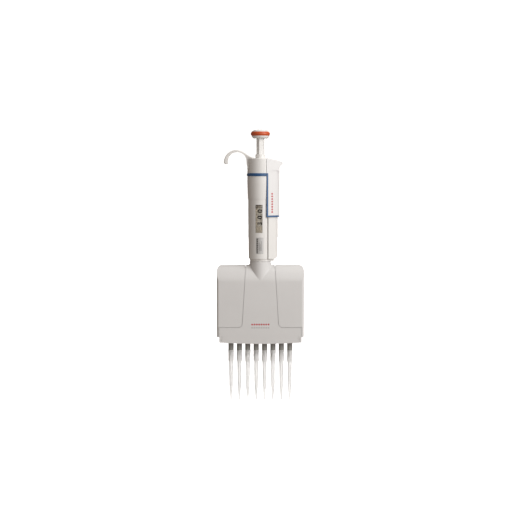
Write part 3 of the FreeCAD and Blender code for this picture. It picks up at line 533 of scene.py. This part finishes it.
def head_marks(materials):
    """A plain dot for each channel over a line of dashes, low on the front of the head."""
    low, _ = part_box("housing_front_cover")
    line_z = low.z + HEAD_LINE_LIFT
    dots = bmesh.new()
    dashes = bmesh.new()
    for i in range(CHANNELS):
        x = (i - (CHANNELS - 1) / 2) * HEAD_MARK_PITCH
        dot(dots, Vector((x, low.y, line_z + HEAD_DOT_LIFT)), RIGHT, UP, FORWARD, HEAD_DOT_R)
        dash(dashes, Vector((x, low.y, line_z)), RIGHT, UP, FORWARD, *HEAD_DASH)
    add_piece("head_dots", dots, materials["red_ink"], "housing")
    add_piece("head_line", dashes, materials["grey_ink"], "housing")


def key_marks(materials):
    """A column of plain dots on the flat flank of the thumb key."""
    low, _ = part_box("ejector_key")
    out = Vector((math.cos(KEY_FLANK_ANGLE), -math.sin(KEY_FLANK_ANGLE), 0.0))
    along = Vector((math.sin(KEY_FLANK_ANGLE), math.cos(KEY_FLANK_ANGLE), 0.0))
    foot = out * KEY_FLANK_R + along * KEY_DOT_SHIFT
    dots = bmesh.new()
    for i in range(CHANNELS):
        z = low.z + KEY_DOT_START + i * KEY_DOT_PITCH
        dot(dots, foot + UP * z, along, UP, out, KEY_DOT_R)
    add_piece("key_dots", dots, materials["red_ink"], "key")


# ---------------------------------------------------------------- soft blend at the neck

def head_top(y):
    """Height of the head's crowned top at a distance y from its middle plane."""
    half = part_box("housing_rear_cover")[1].y
    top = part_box("left_wing_cover")[1].z
    centre_y = half - SHOULDER_R
    rise = math.sqrt(SHOULDER_R ** 2 - (RIDGE_Y - centre_y) ** 2)
    drop = RIDGE_Y * rise / (RIDGE_Y - centre_y)
    ridge_r = math.hypot(RIDGE_Y, drop)
    ridge_z = top - ridge_r
    if abs(y) <= RIDGE_Y:
        return ridge_z + math.sqrt(ridge_r ** 2 - y ** 2)
    return ridge_z - rise + drop + math.sqrt(SHOULDER_R ** 2 - (abs(y) - centre_y) ** 2)


def neck_webs(materials):
    """Concave fillets on both sides of the neck, where it runs out onto the ridge of the head."""
    reach = 3.5 * MM                   # out along the ridge
    lift = 1.45 * MM                   # up the neck
    sink = 0.02 * MM                   # of the outer edge into the head
    tuck_in = 0.2 * MM                 # of the hidden root into the neck
    tuck_down = 0.4 * MM               # and into the head
    fade_from = math.radians(16)
    fade_to = math.radians(54)
    across = 8
    around = 48
    bm = bmesh.new()
    for facing in (0.0, math.pi):
        rows = []
        for i in range(around + 1):
            angle = fade_to * (2 * i / around - 1)
            fade = min(1.0, max(0.0, (abs(angle) - fade_from) / (fade_to - fade_from)))
            share = 1.0 - fade * fade * (3 - 2 * fade)
            outward = Vector((math.cos(facing + angle), math.sin(facing + angle), 0.0))
            end_r = NECK_R + reach * share
            foot_z = head_top(NECK_R * outward.y)
            upper = outward * NECK_R + UP * (foot_z + lift * share)
            corner = outward * NECK_R + UP * foot_z
            outer = outward * end_r + UP * (head_top(end_r * outward.y) - sink)
            row = []
            for j in range(across + 1):
                u = j / across
                point = upper * (1 - u) ** 2 + corner * (2 * u * (1 - u)) + outer * u ** 2
                row.append(bm.verts.new(point))
            row.append(bm.verts.new(corner - outward * tuck_in - UP * tuck_down))
            rows.append(row)
        for first, second in zip(rows, rows[1:]):
            for j in range(across + 2):
                k = (j + 1) % (across + 2)
                bm.faces.new((first[j], second[j], second[k], first[k]))
        bm.faces.new(rows[0])
        bm.faces.new(list(reversed(rows[-1])))
    piece = add_piece("neck_webs", bm, materials["head"], "housing")
    for face in piece.data.polygons:
        face.use_smooth = True


# ---------------------------------------------------------------- stage, lights and camera

def aim(obj, target):
    obj.rotation_mode = "QUATERNION"
    obj.rotation_quaternion = (target - obj.location).to_track_quat("-Z", "Y")


def make_stage():
    """A pale floor that sweeps up behind, far enough down that ejected tips stay clear of it."""
    size = 3.0
    floor_z = -0.035
    back_y = 1.6
    bend_r = 0.6
    steps = 16
    profile = [(-size, floor_z), (back_y - bend_r, floor_z)]
    for i in range(1, steps + 1):
        turn = math.pi / 2 * i / steps
        y = back_y - bend_r + bend_r * math.sin(turn)
        profile.append((y, floor_z + bend_r * (1 - math.cos(turn))))
    profile.append((back_y, floor_z + size))
    bm = bmesh.new()
    left = [bm.verts.new((-size, y, z)) for y, z in profile]
    right = [bm.verts.new((size, y, z)) for y, z in profile]
    for i in range(len(profile) - 1):
        bm.faces.new((left[i], right[i], right[i + 1], left[i + 1]))
    mesh = bpy.data.meshes.new("sweep")
    bm.to_mesh(mesh)
    bm.free()
    for face in mesh.polygons:
        face.use_smooth = True
    mat, tree, shader = material("paper_sweep", (0.93, 0.93, 0.93), 0.9,
                                 Emission_Color=(1.0, 1.0, 1.0, 1.0), Emission_Strength=0.75)
    fibre = span(tree, noise(tree, 900.0), 0.85, 0.95)
    tree.links.new(fibre, shader.inputs["Roughness"])
    mesh.materials.append(mat)
    sweep = bpy.data.objects.new("sweep", mesh)
    bpy.context.scene.collection.objects.link(sweep)
    sweep.visible_diffuse = False
    sweep.visible_glossy = False


def make_world():
    """White to the camera, and a dim warm light on the object, so that its left flank stays dark."""
    world = bpy.data.worlds.new("studio")
    bpy.context.scene.world = world
    world.use_nodes = True
    tree = world.node_tree
    tree.nodes.clear()
    output = tree.nodes.new("ShaderNodeOutputWorld")
    mix = tree.nodes.new("ShaderNodeMixShader")
    path = tree.nodes.new("ShaderNodeLightPath")
    light = tree.nodes.new("ShaderNodeBackground")
    light.inputs["Color"].default_value = WORLD_COLOR
    light.inputs["Strength"].default_value = WORLD_STRENGTH
    seen = tree.nodes.new("ShaderNodeBackground")
    seen.inputs["Color"].default_value = (1.0, 1.0, 1.0, 1.0)
    seen.inputs["Strength"].default_value = 1.0
    tree.links.new(path.outputs["Is Camera Ray"], mix.inputs["Fac"])
    tree.links.new(light.outputs["Background"], mix.inputs[1])
    tree.links.new(seen.outputs["Background"], mix.inputs[2])
    tree.links.new(mix.outputs["Shader"], output.inputs["Surface"])


def make_lights():
    """Area lights aimed at the object, which the camera doesn't see."""
    for name, (location, size, power) in LIGHTS.items():
        data = bpy.data.lights.new(name, "AREA")
        data.shape = "RECTANGLE"
        data.size, data.size_y = size
        data.energy = power
        lamp = bpy.data.objects.new(name, data)
        lamp.location = location
        lamp.visible_camera = False
        aim(lamp, LOOK_AT)
        bpy.context.scene.collection.objects.link(lamp)


def make_camera():
    data = bpy.data.cameras.new("camera")
    data.sensor_width = SENSOR_WIDTH
    data.lens = SENSOR_WIDTH * CAMERA_DISTANCE / VIEW_WIDTH
    camera = bpy.data.objects.new("camera", data)
    back = Vector((0.0, -math.cos(CAMERA_ELEVATION), math.sin(CAMERA_ELEVATION)))
    camera.location = LOOK_AT + back * CAMERA_DISTANCE
    aim(camera, LOOK_AT)
    bpy.context.scene.collection.objects.link(camera)
    bpy.context.scene.camera = camera


def main():
    materials = make_materials()
    dress_cad_nodes(materials)
    wheel_digits("units_digits", "units_wheel", "volume_drive", 0, materials["ink"])
    wheel_digits("tens_digits", "tens_wheel", "tens_counter", 0, materials["ink"])
    wheel_digits("hundreds_digits", "hundreds_wheel", "hundreds_counter", 3, materials["ink"])
    counter_mask(materials)
    label_marks(materials)
    head_marks(materials)
    key_marks(materials)
    neck_webs(materials)
    make_stage()
    make_world()
    make_lights()
    make_camera()
    bpy.context.scene.view_settings.view_transform = "Standard"


main()
